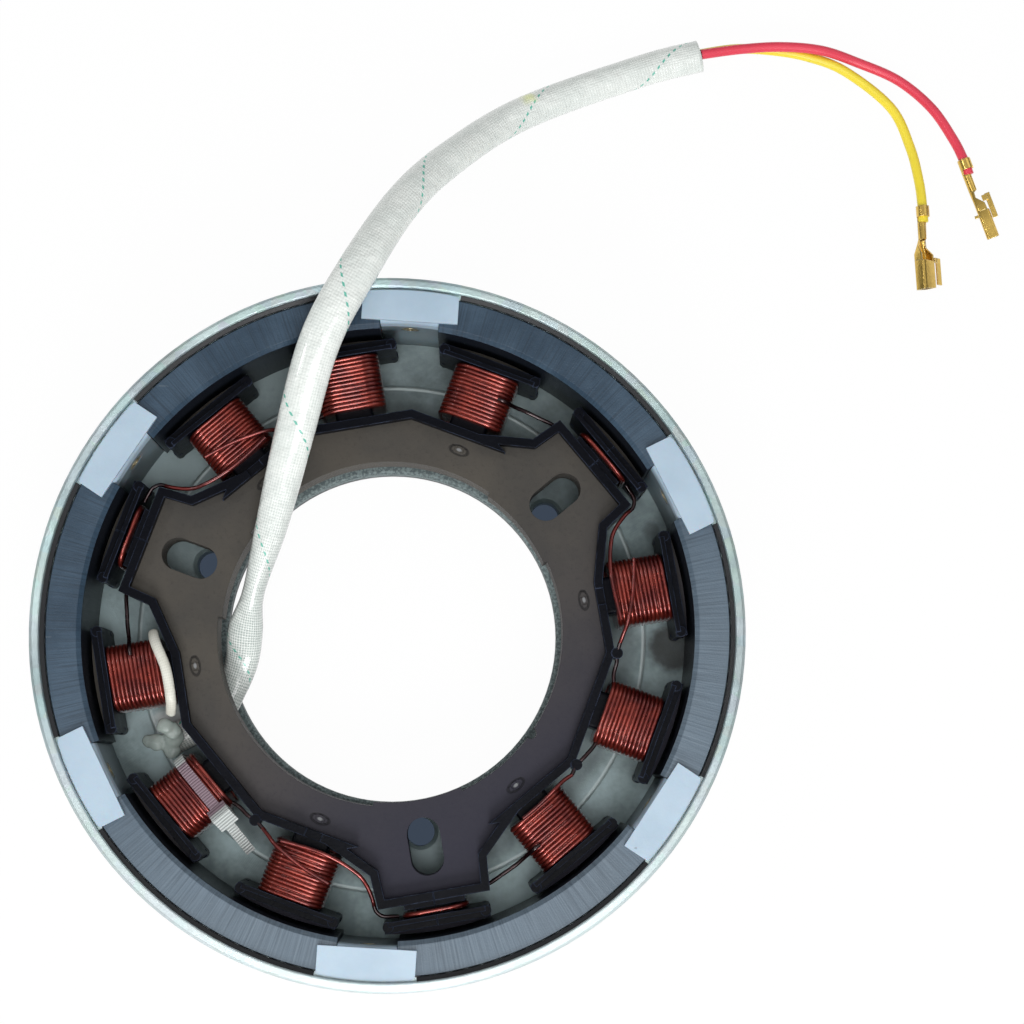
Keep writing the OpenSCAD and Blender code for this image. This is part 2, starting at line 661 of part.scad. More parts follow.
// A receptacle terminal along +X, from the start of the lead's straight end
module terminal(lance_x) {
    t = brass_t;
    w = socket_w;
    h = socket_h;
    grip = 0.03;
    base = -lead_d / 2 - grip - t;
    barrel_d = 2.1;
    x1 = lead_end + 0.05;  // start of the wire crimp
    x2 = 8.6;              // end of the wire crimp
    x3 = 12.2;             // start of the body
    lance = [6.6, 1.3, 0.5];
    color([0.78, 0.64, 0.26]) {
        // ring around the insulation, with its two ends folded down side by side
        translate([0.2, 0, 0]) rotate([0, 90, 0]) difference() {
            union() {
                cylinder(d = lead_d + 2 * (grip + t), h = crimp_l);
                for (s = [-1, 1]) translate([-lead_d / 2 - t, s * t * 0.8, 0])
                    cylinder(r = t, h = crimp_l, $fn = 24);
            }
            translate([0, 0, -1]) cylinder(d = lead_d + 2 * grip, h = crimp_l + 2);
        }
        // floor of the terminal, with a window where the body starts
        translate([0, 0, base]) linear_extrude(t) difference() {
            polygon([
                [crimp_l - 0.4, -barrel_d / 2], [x2, -barrel_d / 2], [x3, -w / 2],
                [x3 + socket_l, -w / 2], [x3 + socket_l - 0.7, w / 2], [x3, w / 2],
                [x2, barrel_d / 2], [crimp_l - 0.4, barrel_d / 2]]);
            translate([x3 - 0.3, -w / 4]) square([1.4, w / 2]);
        }
        translate([x1, 0, base + barrel_d / 2]) rotate([0, 90, 0]) cylinder(d = barrel_d, h = x2 - x1);
        // walls, roof and inner spring of the body
        translate([x3, 0, base]) {
            for (s = [0, 1]) mirror([0, s, 0]) translate([0, w / 2 - t, 0])
                cube([socket_l - 0.7 * (1 - s), t, h]);
            translate([0.8, 0, h - t]) linear_extrude(t) polygon([
                [0, -w / 2], [socket_l - 0.8, -w / 2], [socket_l - 1.5, w / 2], [0, w / 2]]);
            translate([socket_l - 2.2, -w / 2 + t / 2, h - 1.2]) cube([0.6, w - t, 1.2 - t / 2]);
        }
        // side lance that locks the body in its housing
        translate([x3 + lance_x, w / 2 + 0.5, base + h - t]) cube([lance[0], lance[1], t]);
        translate([x3 + max(lance_x, 0), w / 2 - t, base + h - t]) cube([1.2, 0.5 + 2 * t, t]);
    }
}

// Sets a terminal on the straight end of a lead, turned about its own length by roll
module terminal_at(route, roll, lance_x) {
    d = level_step(route);
    translate(route[len(route) - 2]) rotate([0, 0, atan2(d[1], d[0])]) rotate([roll, 0, 0])
        terminal(lance_x);
}

module red_terminal() {
    terminal_at(red_route, red_roll, red_lance);
}

module yellow_terminal() {
    terminal_at(yellow_route, yellow_roll, yellow_lance);
}

rotor_cup();
for (i = [1:6]) magnet(i);
for (i = [1:6]) spacer(i);
spacer_rivets();
magnet_adhesive();
stator_core();
for (i = [1:3]) front_insulator(i);
for (i = [1:3]) rear_insulator(i);
for (i = [1:12]) coil(i);
jumper_wires();
splice_sleeving();
silicone_dab();
cable_tie();
lead_sleeve();
red_lead();
yellow_lead();
red_terminal();
yellow_terminal();
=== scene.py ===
# Flywheel magneto, seen from above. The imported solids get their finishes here, and the wound,
# braided and pressed pieces are modelled around them. Metres, in the model's frame.
import math
import random

import bmesh
import bpy
from mathutils import Matrix, Vector, noise


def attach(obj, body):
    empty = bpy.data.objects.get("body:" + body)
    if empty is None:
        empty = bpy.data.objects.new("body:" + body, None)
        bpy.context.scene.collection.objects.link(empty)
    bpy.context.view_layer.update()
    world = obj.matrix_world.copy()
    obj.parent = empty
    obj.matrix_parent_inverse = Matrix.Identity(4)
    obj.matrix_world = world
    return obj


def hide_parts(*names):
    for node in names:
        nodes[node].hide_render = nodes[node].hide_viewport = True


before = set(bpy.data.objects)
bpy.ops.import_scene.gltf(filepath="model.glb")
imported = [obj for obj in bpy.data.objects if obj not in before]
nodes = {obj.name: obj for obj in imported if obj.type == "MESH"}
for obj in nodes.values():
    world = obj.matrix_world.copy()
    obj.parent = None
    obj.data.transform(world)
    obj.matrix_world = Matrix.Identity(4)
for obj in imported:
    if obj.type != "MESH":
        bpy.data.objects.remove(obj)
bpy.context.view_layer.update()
mm = 0.001
print("frame:", len(nodes), "solids")

# The stator's layout as in the model: teeth are counted from 0 at the first angle, in degrees, and
# heights are in millimetres
stator = {"angle": 9.7, "pitch": 30, "teeth": 12, "lobeTooth": 1, "lobes": 3, "teethPerLobe": 4,
          "lobeStep": 120, "tiedTooth": 7, "bottom": 11.5, "mid": 16.0}

# Camera, at the photograph's angle
camera = {"place": (0.01706, -0.03142, 0.53324), "turn": (0.11502, -0.02104, 0), "lens": 78.8, "sensor": 36}
cameraData = bpy.data.cameras.new("camera")
cameraData.lens = camera["lens"]
cameraData.sensor_width = camera["sensor"]
cameraObject = bpy.data.objects.new("camera", cameraData)
cameraObject.location = camera["place"]
cameraObject.rotation_euler = camera["turn"]
bpy.context.scene.collection.objects.link(cameraObject)
bpy.context.scene.camera = cameraObject
bpy.context.scene.view_settings.view_transform = "Standard"


# Materials
def tone(red, green, blue):  # a colour as it shows on screen, 0 to 255
    return tuple((c / 255 / 12.92) if c < 10.3 else ((c / 255 + 0.055) / 1.055) ** 2.4
                 for c in (red, green, blue)) + (1,)


class Value:  # a socket that Python's operators work on
    def __init__(self, paint, socket):
        self.paint, self.socket = paint, socket

    def math(self, operation, *others):
        return self.paint.node("ShaderNodeMath", {"operation": operation},
                               dict(enumerate((self,) + others)))

    def __add__(self, other):
        return self.math("ADD", other)

    def __sub__(self, other):
        return self.math("SUBTRACT", other)

    def __mul__(self, other):
        return self.math("MULTIPLY", other)

    def __truediv__(self, other):
        return self.math("DIVIDE", other)

    def __rsub__(self, other):
        return self.paint.node("ShaderNodeMath", {"operation": "SUBTRACT"}, {0: other, 1: self})

    __radd__ = __add__


class Paint:  # one material and the ways to add nodes to it
    def __init__(self, name, **surface):
        self.material = bpy.data.materials.new(name)
        self.material.use_nodes = True
        self.tree = self.material.node_tree
        self.shader = self.tree.nodes["Principled BSDF"]
        self.place = self.node("ShaderNodeTexCoord", output="Object")
        for key, value in surface.items():
            self.shader.inputs[key.replace("_", " ")].default_value = value

    def node(self, kind, settings={}, inputs={}, output=0):
        made = self.tree.nodes.new(kind)
        for key, value in settings.items():
            setattr(made, key, value)
        for key, value in inputs.items():
            if isinstance(value, Value):
                self.tree.links.new(value.socket, made.inputs[key])
            else:
                made.inputs[key].default_value = value
        return Value(self, made.outputs[output])

    def set(self, **inputs):
        for key, value in inputs.items():
            self.tree.links.new(value.socket, self.shader.inputs[key.replace("_", " ")])

    def noise(self, scale, detail=3, rough=0.5, at=None, stretch=None):
        at = at or self.place
        if stretch:
            at = self.node("ShaderNodeMapping", {}, {"Vector": at, "Scale": stretch})
        return self.node("ShaderNodeTexNoise", {}, {"Vector": at, "Scale": scale, "Detail": detail,
                                                    "Roughness": rough})

    def ramp(self, value, low, high):  # 0 at low and 1 at high
        return self.node("ShaderNodeMapRange", {"interpolation_type": "SMOOTHSTEP"},
                         {"Value": value, "From Min": low, "From Max": high})

    def mix(self, share, first, second):
        return self.node("ShaderNodeMix", {"data_type": "RGBA"}, {0: share, 6: first, 7: second}, 2)

    def stripes(self, value, every):  # a wave from -1 to 1
        return (value * (math.tau / every)).math("SINE")

    def split(self, vector=None):
        made = self.tree.nodes.new("ShaderNodeSeparateXYZ")
        self.tree.links.new((vector or self.place).socket, made.inputs[0])
        return [Value(self, out) for out in made.outputs]

    def polar(self):  # x, y, z and the distance from the axis
        x, y, z = self.split()
        return x, y, z, (x * x + y * y).math("SQRT")

    def spot(self, x, y, z, size, soft, ragged):  # 1 inside a round mark; millimetres, soft is a share
        far = self.node("ShaderNodeVectorMath", {"operation": "DISTANCE"},
                        {0: self.place, 1: (x * mm, y * mm, z * mm)}, "Value")
        far = far + (self.noise(420, 4, 0.6) - 0.5) * (2 * ragged * mm)
        return self.ramp(far, size * mm, size * (1 - soft) * mm)

    def bevel(self, radius):
        return self.node("ShaderNodeBevel", {"samples": 4}, {"Radius": radius})

    def edges(self, size):  # 1 along the sharp edges of a solid
        sharp = self.node("ShaderNodeNewGeometry", output="Normal")
        facing = self.node("ShaderNodeVectorMath", {"operation": "DOT_PRODUCT"},
                           {0: self.bevel(size), 1: sharp}, "Value")
        return self.ramp(facing, 0.985, 0.88)  # cosines of 10 and 28 degrees

    def relief(self, height, depth, edge=0.0):  # bump over edges that catch the light
        inputs = {"Height": height, "Distance": depth}
        if edge:
            inputs["Normal"] = self.bevel(edge)
        self.set(Normal=self.node("ShaderNodeBump", {}, inputs))


def makeZinc():
    look = {
        "bright": tone(192, 211, 212), "dull": tone(160, 180, 181), "stain": tone(122, 136, 134),
        "turning": 0.28 * mm, "spangle": 300, "litRim": tone(240, 250, 252),
        # the cup's floor as lit, and darker as painted shade
        "litFloor": (tone(116, 134, 136), tone(178, 201, 204)),
        "shadedFloor": (tone(74, 86, 88), tone(116, 130, 132)),
        "floorHeight": 5, "step": 59.2 * mm, "stepLight": tone(226, 240, 240),
        "boreGritAndShade": (tone(78, 90, 92), tone(122, 136, 136)), "footShadow": tone(40, 44, 46),
        "lipHighlight": tone(190, 200, 198),
        # on the cup's floor: x, y, size, softness, raggedness, strength and colour
        "marks": [(66.2, -2.4, 7, 0.4, 1.2, 0.85, tone(48, 48, 47)),
                  (61.4, 25.4, 3.2, 0.7, 1.2, 0.6, tone(60, 66, 70)),
                  (-51.9, -19.6, 4.5, 0.5, 2.5, 0.6, tone(226, 232, 230)),
                  (-60, 6, 5, 0.8, 2, 0.35, tone(92, 104, 108)),
                  (14, -60, 6, 0.8, 3, 0.35, tone(220, 228, 228)),
                  (40, 58, 6, 0.8, 2.5, 0.4, tone(96, 108, 106))]}
    paint = Paint("zinc")
    y, height, distance = paint.polar()[1:]
    spangle = paint.node("ShaderNodeTexVoronoi", {}, {"Vector": paint.place, "Scale": look["spangle"]},
                         "Color")
    stain = paint.ramp(paint.noise(130, 5, 0.65), 0.42, 0.72)
    colour = paint.mix(paint.ramp(paint.noise(55, 4, 0.6), 0.35, 0.68), look["bright"], look["dull"])
    colour = paint.mix(stain * 0.25, colour, look["stain"])
    colour = paint.mix(0.05, colour, spangle)

    # Low in the cup it is cloudy, with painted shade at the far side and a painted shadow under the stator
    low = paint.ramp(height, 20 * mm, 7 * mm) * paint.ramp(distance, 78 * mm, 77 * mm)
    cloud = paint.ramp(paint.noise(38, 5, 0.65), 0.36, 0.62)
    farSideShade = paint.ramp(y, -10 * mm, 62 * mm) * 0.65
    statorShadow = paint.ramp(distance, 59 * mm, 55 * mm) * 0.8
    cupFloor = paint.mix(farSideShade.math("MAXIMUM", statorShadow), paint.mix(cloud, *look["litFloor"]),
                         paint.mix(cloud, *look["shadedFloor"]))
    colour = paint.mix(low, colour, cupFloor)
    # painted light: a pale band over the step in the floor lifts the shade that falls in it
    step = paint.ramp((distance - look["step"]).math("ABSOLUTE"), 0.7 * mm, 0.3 * mm) * low
    colour = paint.mix(step * 0.55, colour, look["stepLight"])
    for east, north, size, soft, ragged, strength, shade in look["marks"]:
        mark = paint.spot(east, north, look["floorHeight"], size, soft, ragged)
        colour = paint.mix(mark * strength, colour, shade)

    # The near side of the rim catches the light
    lit = paint.ramp(y, -5 * mm, -72 * mm) * (1 - low)
    colour = paint.mix(lit * 0.5, colour, look["litRim"])

    # The ring around the bore is gritty and darker, the darkness partly painted shade; a painted shadow
    # darkens its foot and a painted highlight brightens the lip below
    bore = paint.ramp(distance, 44 * mm, 42.5 * mm)
    grit = paint.ramp(paint.noise(1500, 3, 0.7), 0.4, 0.62)
    colour = paint.mix(bore, colour, paint.mix(grit, *look["boreGritAndShade"]))
    footShadow = bore * paint.ramp(height, 2.2 * mm, 1.7 * mm)
    colour = paint.mix(footShadow, colour, look["footShadow"])
    lipHighlight = paint.ramp(distance, 41 * mm, 40.5 * mm) * paint.ramp(height, 0.7 * mm, 0.4 * mm)
    colour = paint.mix(lipHighlight, colour, look["lipHighlight"])

    paint.set(Base_Color=colour, Roughness=0.28 + paint.noise(300, 3, 0.6) * 0.2 + bore * 0.3,
              Metallic=0.85 - low * 0.6 - bore * 0.25 - lit * 0.3)
    turning = paint.stripes(distance, look["turning"]) * 0.15
    paint.relief(turning + paint.noise(2600, 3, 0.6) * 0.5 + paint.noise(420, 4, 0.6) * 0.5, 0.07 * mm,
                 0.5 * mm)
    return paint.material


def makeFerrite():
    look = {"face": tone(41, 60, 77), "pale": tone(61, 81, 99), "deep": tone(28, 39, 50),
            "lit": tone(118, 132, 143), "scratch": tone(130, 138, 142), "wall": tone(20, 25, 34)}
    paint = Paint("ferrite", Metallic=0.0, Specular_IOR_Level=0.35)
    x, y, z, distance = paint.polar()
    angle = y.math("ARCTAN2", x)
    streakAt = paint.node("ShaderNodeCombineXYZ", {}, {0: angle * 0.13, 1: distance * 0.03, 2: z * 0.1})
    streak = paint.noise(1300, 3, 0.7, streakAt)
    scratch = paint.ramp(paint.noise(900, 1, 0.5, stretch=(0.12, 1, 1)), 0.74, 0.78)
    patch = paint.noise(60, 4, 0.6)
    colour = paint.mix(paint.ramp(patch, 0.3, 0.7), look["face"], look["pale"])
    colour = paint.mix(paint.ramp(streak, 0.42, 0.7) * 0.55, colour, look["deep"])
    lit = paint.ramp(x * 0.45 - y, -32 * mm, 48 * mm)
    colour = paint.mix(lit * (0.95 - streak * 0.9), colour, look["lit"])
    colour = paint.mix(scratch * 0.25, colour, look["scratch"])
    # painted shade: the magnets' upright faces are darkened
    upright = paint.split(paint.node("ShaderNodeNewGeometry", output="Normal"))[2]
    colour = paint.mix(paint.ramp(upright, 0.5, 0.2), colour, look["wall"])
    paint.set(Base_Color=colour, Roughness=0.24 + patch * 0.12 + streak * 0.12)
    paint.relief(streak * 0.6 + paint.noise(3000, 2, 0.6), 0.06 * mm, 0.3 * mm)
    return paint.material


def makePlain(name, colour, rough, metal=0.0, grain=0.04 * mm, scale=1500, edge=0.2 * mm, dark=0.75,
              edgeHighlight=None, **more):  # patches of a darker tone, and a painted highlight along the edges
    paint = Paint(name, Metallic=metal, **more)
    shade = tuple(c * dark for c in colour[:3]) + (1,)
    colour = paint.mix(paint.ramp(paint.noise(scale / 12, 4, 0.6), 0.35, 0.75), colour, shade)
    # painted highlight along the sharp edges, in patches
    if edgeHighlight:
        highlightMask = paint.edges(edge) * paint.ramp(paint.noise(260, 4, 0.6), 0.3, 0.6)
        colour = paint.mix(highlightMask, colour, edgeHighlight)
    paint.set(Base_Color=colour, Roughness=rough + paint.noise(scale / 5, 3, 0.6) * 0.15)
    paint.relief(paint.noise(scale, 3, 0.6), grain, edge)
    return paint.material


def makeNylon():  # the webs below the plates are darker: painted shade
    look = {"plate": (tone(172, 192, 208), tone(160, 181, 198)), "speck": tone(70, 74, 80),
            "web": (tone(104, 118, 126), tone(84, 96, 104)), "plateFrom": 26.5 * mm}
    paint = Paint("nylon", Roughness=0.35, Subsurface_Weight=0.15, Subsurface_Scale=0.002)
    height = paint.split()[2]
    patch = paint.ramp(paint.noise(58, 4, 0.6), 0.35, 0.75)
    speck = paint.ramp(paint.noise(420, 2, 0.5), 0.74, 0.8)
    colour = paint.mix(paint.ramp(height, look["plateFrom"], look["plateFrom"] + mm),
                       paint.mix(patch, *look["web"]), paint.mix(patch, *look["plate"]))
    paint.set(Base_Color=paint.mix(speck * 0.5, colour, look["speck"]))
    paint.relief(paint.noise(700, 3, 0.6), 0.04 * mm, 0.2 * mm)
    return paint.material


def makeCore():
    look = {"face": tone(67, 65, 62), "warm": tone(79, 75, 69), "coldShade": tone(44, 44, 57),
            "fine": tone(46, 44, 46), "ring": tone(24, 24, 26), "glint": tone(140, 142, 144),
            "sheet": 0.5 * mm}
    dimple = {"every": math.radians(60), "from": math.radians(stator["angle"]), "far": 45 * mm,
              "long": 2.1 * mm, "wide": 1.1 * mm}
    paint = Paint("coreSteel", Metallic=0.1, Specular_IOR_Level=0.14)
    x, y, z, distance = paint.polar()
    fine = paint.noise(1100, 4, 0.7)
    colour = paint.mix(paint.ramp(paint.noise(45, 4, 0.6), 0.3, 0.72), look["face"], look["warm"])
    colour = paint.mix(paint.ramp(fine, 0.5, 0.8) * 0.35, colour, look["fine"])
    # painted shade: the face is darker and bluer towards -y
    colour = paint.mix(paint.ramp(y - x * 0.5, 20 * mm, -60 * mm) * 0.9, colour, look["coldShade"])
    turn = (y.math("ARCTAN2", x) - dimple["from"]) / dimple["every"] + 0.5
    along = (turn.math("FRACT") - 0.5) * (dimple["every"] * dimple["far"] / dimple["long"])
    across = (distance - dimple["far"]) / dimple["wide"]
    off = (along * along + across * across).math("SQRT")
    # the dimples get a painted shadow along their outlines and a painted highlight at their centres
    ring = paint.ramp((off - 1).math("ABSOLUTE"), 0.28, 0.08)
    colour = paint.mix(ring * 0.6, colour, look["ring"])
    colour = paint.mix(paint.ramp(off, 0.42, 0.2) * 0.7, colour, look["glint"])
    paint.set(Base_Color=colour, Roughness=0.46 + fine * 0.2)
    seam = paint.stripes(z, look["sheet"])
    paint.relief(seam * 0.5 + fine * 0.6 - ring, 0.08 * mm, 0.2 * mm)
    return paint.material


def makeEnamel(name, bright, deep):
    paint = Paint(name, Metallic=0.8, Coat_Weight=0.8, Coat_Roughness=0.13)
    paint.set(Base_Color=paint.mix(paint.ramp(paint.noise(220, 4, 0.6), 0.3, 0.7), bright, deep),
              Roughness=0.22 + paint.noise(700, 2, 0.5) * 0.14)
    return paint.material


def makeBraid(name, look):  # woven on the tube's own UV: metres along, turns around
    paint = Paint(name, Coat_Weight=look["coat"], Coat_Roughness=0.14)
    along, around = paint.split(paint.node("ShaderNodeTexCoord", output="UV"))[:2]
    across = around * (math.tau * look["strands"])
    onward = along * (math.tau / look["pick"])
    weave = (across + onward).math("SINE") * (across - onward).math("SINE") * 0.5 + 0.5
    colour = paint.mix(paint.ramp(paint.noise(170, 4, 0.6), 0.3, 0.7), look["bright"], look["dull"])
    plainly = paint.ramp(along, *look["boreFades"]) * look["nearBore"] + look["show"]
    colour = paint.mix(paint.ramp(weave, 0.75, 0.1) * plainly, colour, look["gap"])
    if "tracer" in look:  # a dashed thread that winds around the tube, and more slowly further on
        since = along - look["first"]
        late = paint.ramp(since, *look["lagGrows"]) * paint.ramp(since, *look["lagEnds"]) * look["lag"]
        phase = around + since * look["rate"] - since * since * look["slowing"] - late + 0.25
        off = (phase.math("FRACT") - 0.5).math("ABSOLUTE")
        line = paint.ramp(off, look["width"], look["width"] * 0.6)
        dash = paint.ramp(paint.stripes(along, look["dash"]), -0.15, 0.35)
        colour = paint.mix(line * dash * 0.9, colour, look["tracer"])
        colour = paint.mix(paint.spot(*look["stain"]) * 0.6, colour, look["stainTone"])
    paint.set(Base_Color=colour, Roughness=look["rough"] + weave * 0.1)
    crumple = paint.noise(150, 3, 0.6) * look["crumple"]
    paint.relief(weave + paint.noise(900, 3, 0.6) * 0.4 + crumple, look["depth"])
    return paint.material


def makeTie():  # nylon that lets the wires show through, with the ribs of its band
    look = {"band": tone(150, 130, 140), "rib": tone(104, 82, 92), "free": tone(206, 212, 210),
            "shade": tone(150, 158, 158), "every": 0.6 * mm, "bandEnd": 6.3 * mm}
    paint = Paint("tieNylon", Roughness=0.25, Alpha=0.88)
    angle = math.radians(stator["angle"] + stator["pitch"] * stator["tiedTooth"])
    x, y = paint.split()[:2]
    side = y * math.cos(angle) - x * math.sin(angle)
    rib = paint.stripes(side, look["every"]) * 0.5 + 0.5
    band = paint.mix(rib * 0.7, look["band"], look["rib"])
    free = paint.mix(rib * 0.5, look["free"], look["shade"])
    loose = paint.ramp(side.math("ABSOLUTE"), look["bandEnd"], look["bandEnd"] + mm)
    paint.set(Base_Color=paint.mix(loose, band, free))
    paint.relief(rib, 0.2 * mm)
    return paint.material


# Gaps show by the first share everywhere and by the second near the bore, where the darker gaps are painted
# shade. The tracer starts after some metres and winds at a rate in turns a metre, slowing, with a lag over
# one stretch.
sleeveBraid = makeBraid("sleeveBraid", {
    "strands": 20, "pick": 1.4 * mm, "bright": tone(232, 236, 232), "dull": tone(220, 226, 222),
    "gap": tone(160, 172, 168), "show": 0.14, "nearBore": 0.8, "boreFades": (0.085, 0.03),
    "depth": 0.08 * mm, "rough": 0.26, "coat": 1.0, "crumple": 14,
    "tracer": tone(70, 178, 156), "first": 0.0272, "rate": 36.1, "slowing": 29.8,
    "lag": 0.12, "lagGrows": (0.09, 0.165), "lagEnds": (0.205, 0.175), "width": 0.015, "dash": 1.7 * mm,
    "stain": (32, 129.5, 9, 2.6, 0.9, 1.5), "stainTone": tone(232, 240, 150)})
spliceCloth = makeBraid("spliceCloth", {
    "strands": 8, "pick": 1.2 * mm, "bright": tone(226, 226, 216), "dull": tone(205, 204, 192),
    "gap": tone(160, 160, 150), "show": 0.25, "nearBore": 0, "boreFades": (0.085, 0.03),
    "depth": 0.06 * mm, "rough": 0.4, "coat": 0.2, "crumple": 4})
copperWire = makeEnamel("enamelledCopper", tone(152, 60, 48), tone(100, 30, 28))
copperShaded = makeEnamel("enamelledShaded", tone(52, 24, 26), tone(32, 18, 22))
jumperCopper = makeEnamel("enamelledJumper", tone(128, 42, 36), tone(84, 26, 26))
redSheath = makePlain("redSheath", tone(226, 62, 84), 0.28, scale=900, dark=0.88)
yellowSheath = makePlain("yellowSheath", tone(238, 216, 56), 0.28, scale=900, dark=0.9)
silicone = makePlain("silicone", tone(156, 168, 162), 0.2, scale=900, dark=0.8, Alpha=0.6)
terminalBrass = makePlain("terminalBrass", tone(232, 196, 106), 0.17, 0.95, dark=0.72,
                          edgeHighlight=tone(252, 244, 206))

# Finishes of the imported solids; the ones above are for the pieces that are modelled below
mouldedBlack = makePlain("mouldedBlack", tone(10, 12, 19), 0.28, grain=0.06 * mm, edge=0.3 * mm, dark=0.7,
                         edgeHighlight=tone(66, 76, 98), Specular_IOR_Level=0.06)
finishes = {
    "rotor_cup": makeZinc(), "magnet": makeFerrite(), "spacer": makeNylon(),
    "spacer_rivets": makePlain("rivetBrass", tone(196, 184, 150), 0.3, 0.9),
    "magnet_adhesive": makePlain("adhesive", tone(26, 28, 32), 0.4),
    "stator_core": makeCore(), "front_insulator": mouldedBlack, "rear_insulator": mouldedBlack,
    "cable_tie": makeTie()}
for name, solid in nodes.items():
    kind = name.rstrip("0123456789").rstrip("_")
    if kind in finishes:
        solid.data.materials.clear()
        solid.data.materials.append(finishes[kind])
print("finishes ready")


def linked(name, data, material=None):  # every piece made here stands with the stator
    made = bpy.data.objects.new(name, data)
    bpy.context.scene.collection.objects.link(made)
    if material:
        data.materials.append(material)
    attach(made, "stator")
    return made


def meshFrom(bm, name, smooth=True):
    mesh = bpy.data.meshes.new(name)
    bm.to_mesh(mesh)
    bm.free()
    if smooth:
        mesh.shade_smooth()
    return mesh


# Cords
def between(a, b, c, d, t):  # on a smooth curve from b to c, with a and d beyond them
    return [0.5 * (2 * q + (r - p) * t + (2 * p - 5 * q + 4 * r - s) * t * t
                   + (3 * q - p - 3 * r + s) * t ** 3) for p, q, r, s in zip(a, b, c, d)]


def smoothRoute(points, steps):  # the same curve through the points as in the model
    last = len(points) - 1
    route = [between(points[max(i - 1, 0)], points[i], points[i + 1], points[min(i + 2, last)], k / steps)
             for i in range(last) for k in range(steps)]
    return route + [list(points[last])]


def scaled(points):
    return [[c * mm for c in p] for p in points]


def runAlong(route):  # metres from the start to each point
    run = [0.0]
    for a, b in zip(route, route[1:]):
        run.append(run[-1] + (Vector(b[:3]) - Vector(a[:3])).length)
    return run


def curveOf(name, routes, thickness, sides, materials=(), slots=None):
    curve = bpy.data.curves.new(name, "CURVE")
    for material in materials:
        curve.materials.append(material)
    curve.dimensions = "3D"
    curve.bevel_depth = thickness / 2
    curve.bevel_resolution = sides
    curve.use_fill_caps = True
    for number, route in enumerate(routes):
        spline = curve.splines.new("POLY")
        spline.material_index = slots[number] if slots else 0
        spline.points.add(len(route) - 1)
        for point, place in zip(spline.points, route):
            point.co = (*place[:3], 1)
        spline.use_smooth = True
    return curve


def wrapTube(route, sides, ripple):  # a level oval tube; its UV is metres along and turns around
    ripplesEach = 55  # in a metre
    rings = len(route)
    run = runAlong(route)
    bm = bmesh.new()
    bmesh.ops.create_grid(bm, x_segments=rings - 1, y_segments=sides, size=0.5)
    uv = bm.loops.layers.uv.new("along")
    cell = {v: (round((v.co.x + 0.5) * (rings - 1)), (v.co.y + 0.5) * sides) for v in bm.verts}
    for face in bm.faces:
        for loop in face.loops:
            i, j = cell[loop.vert]
            loop[uv].uv = (run[i], j / sides)
    for v, (i, j) in cell.items():
        centre, (width, height) = Vector(route[i][:3]), route[i][3:]
        before, after = Vector(route[max(i - 1, 0)][:3]), Vector(route[min(i + 1, rings - 1)][:3])
        ahead = (after - before).normalized()
        side = Vector((0, 0, 1)).cross(ahead).normalized()
        up = ahead.cross(side)
        around = math.tau * j / sides
        place = Vector((run[i] * ripplesEach, math.cos(around), math.sin(around)))
        loose = 1 + ripple * noise.noise(place)
        v.co = (centre + side * math.cos(around) * width / 2 * loose
                + up * math.sin(around) * height / 2 * loose)
    bmesh.ops.remove_doubles(bm, verts=bm.verts, dist=1e-6)
    bmesh.ops.recalc_face_normals(bm, faces=bm.faces)
    return bm


def hollowTube(name, route, look, material):
    made = linked(name, meshFrom(wrapTube(route, look["sides"], look["ripple"]), name), material)
    wall = made.modifiers.new("wall", "SOLIDIFY")
    wall.thickness = look["wall"]
    wall.offset = -1
    return made


# Each point is x, y, z, width and height in millimetres
sleeve = {
    "points": [
        (-51, -24.5, 8.2, 7, 3.4), (-41, -18.5, 8.2, 7.2, 3.4), (-37, -12, 8.3, 7, 3.4),
        (-34.7, -5.5, 10, 7.8, 3.8), (-33.5, 1.5, 14.5, 8, 4.2), (-31.4, 9.5, 19.3, 5.1, 5.4),
        (-27, 24, 25.2, 7.4, 5), (-22, 42.5, 31, 9, 5), (-16, 64, 35.7, 9.5, 4.8), (-8, 80, 36, 9.5, 4.8),
        (2, 98, 28, 8.8, 5.2), (12.5, 111, 18.8, 8.4, 5.4), (30.5, 126, 7.4, 8, 5.8),
        (59.5, 138, 3.5, 7.8, 6), (74, 142, 3.2, 7.8, 6)],
    "steps": 12, "sides": 28, "ripple": 0.02, "wall": 0.5 * mm, "diameter": 8.2 * mm}
sleeveRoute = smoothRoute(scaled(sleeve["points"]), sleeve["steps"])
sleeveObject = hollowTube("leadSleeve", sleeveRoute, sleeve, sleeveBraid)
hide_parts("lead_sleeve")

